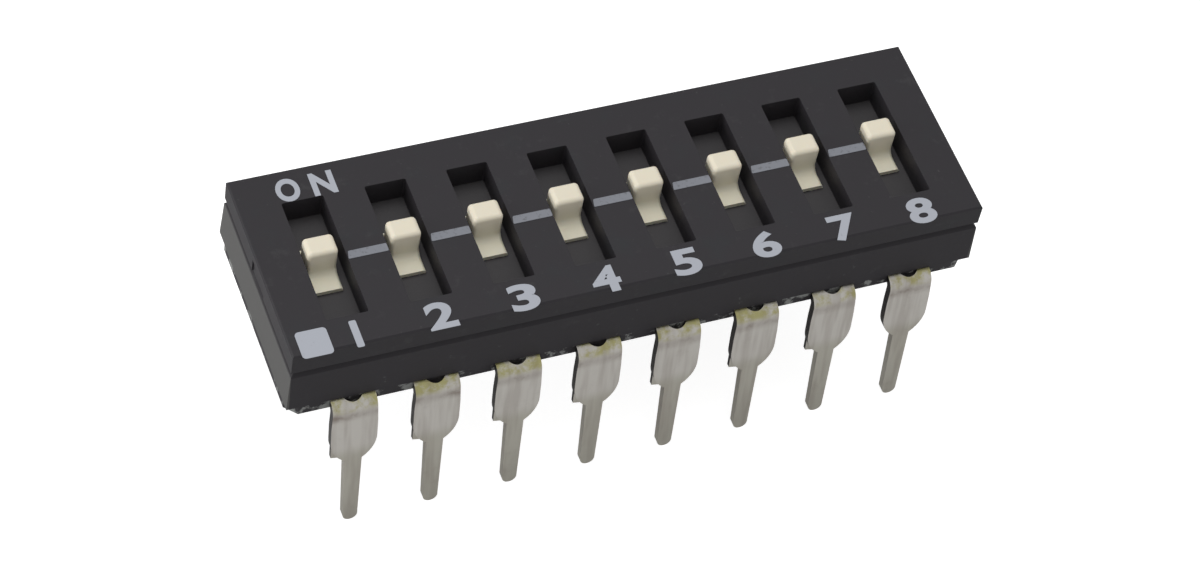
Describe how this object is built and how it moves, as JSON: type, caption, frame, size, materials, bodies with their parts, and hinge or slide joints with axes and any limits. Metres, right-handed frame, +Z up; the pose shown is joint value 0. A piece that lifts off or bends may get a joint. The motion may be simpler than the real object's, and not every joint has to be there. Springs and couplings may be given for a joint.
{
  "type": "dip switch",
  "caption": "Slide-type switch bank in a dual in-line package: black moulded body, cream sliders in open slots, tinned through-hole leads.",
  "frame": {"origin": "middle of the body's underside", "axes": "+X along the row from switch 1 to switch 8, +Y towards the side marked ON, +Z up out of the cover"},
  "size_m": [0.0218, 0.0084, 0.0079],
  "materials": {
    "housing": "satin black moulded plastic",
    "slider": "cream moulded plastic",
    "lead": "tin-plated, slightly dull",
    "contact": "sprung alloy strip"
  },
  "bodies": {
    "housing": {"base": "housing", "cover": "housing", "terminal_plate": "housing", "terminal_back_1": "lead", "terminal_back_2": "lead", "terminal_back_3": "lead", "terminal_back_4": "lead", "terminal_back_5": "lead", "terminal_back_6": "lead", "terminal_back_7": "lead", "terminal_back_8": "lead", "terminal_front_1": "lead", "terminal_front_2": "lead", "terminal_front_3": "lead", "terminal_front_4": "lead", "terminal_front_5": "lead", "terminal_front_6": "lead", "terminal_front_7": "lead", "terminal_front_8": "lead"},
    "slider_body_1": {"slider_1": "slider", "contact_1": "contact"},
    "slider_body_2": {"slider_2": "slider", "contact_2": "contact"},
    "slider_body_3": {"slider_3": "slider", "contact_3": "contact"},
    "slider_body_4": {"slider_4": "slider", "contact_4": "contact"},
    "slider_body_5": {"slider_5": "slider", "contact_5": "contact"},
    "slider_body_6": {"slider_6": "slider", "contact_6": "contact"},
    "slider_body_7": {"slider_7": "slider", "contact_7": "contact"},
    "slider_body_8": {"slider_8": "slider", "contact_8": "contact"}
  },
  "joints": [
    {"name": "switch_1", "type": "slide", "parent": "housing", "child": "slider_body_1", "axis": [0, 1, 0], "range_m": [-0.00063, 0]},
    {"name": "switch_2", "type": "slide", "parent": "housing", "child": "slider_body_2", "axis": [0, 1, 0], "range_m": [-0.00063, 0]},
    {"name": "switch_3", "type": "slide", "parent": "housing", "child": "slider_body_3", "axis": [0, 1, 0], "range_m": [-0.00063, 0]},
    {"name": "switch_4", "type": "slide", "parent": "housing", "child": "slider_body_4", "axis": [0, 1, 0], "range_m": [-0.00063, 0]},
    {"name": "switch_5", "type": "slide", "parent": "housing", "child": "slider_body_5", "axis": [0, 1, 0], "range_m": [-0.00063, 0]},
    {"name": "switch_6", "type": "slide", "parent": "housing", "child": "slider_body_6", "axis": [0, 1, 0], "range_m": [-0.00063, 0]},
    {"name": "switch_7", "type": "slide", "parent": "housing", "child": "slider_body_7", "axis": [0, 1, 0], "range_m": [-0.00063, 0]},
    {"name": "switch_8", "type": "slide", "parent": "housing", "child": "slider_body_8", "axis": [0, 1, 0], "range_m": [-0.00063, 0]}
  ]
}
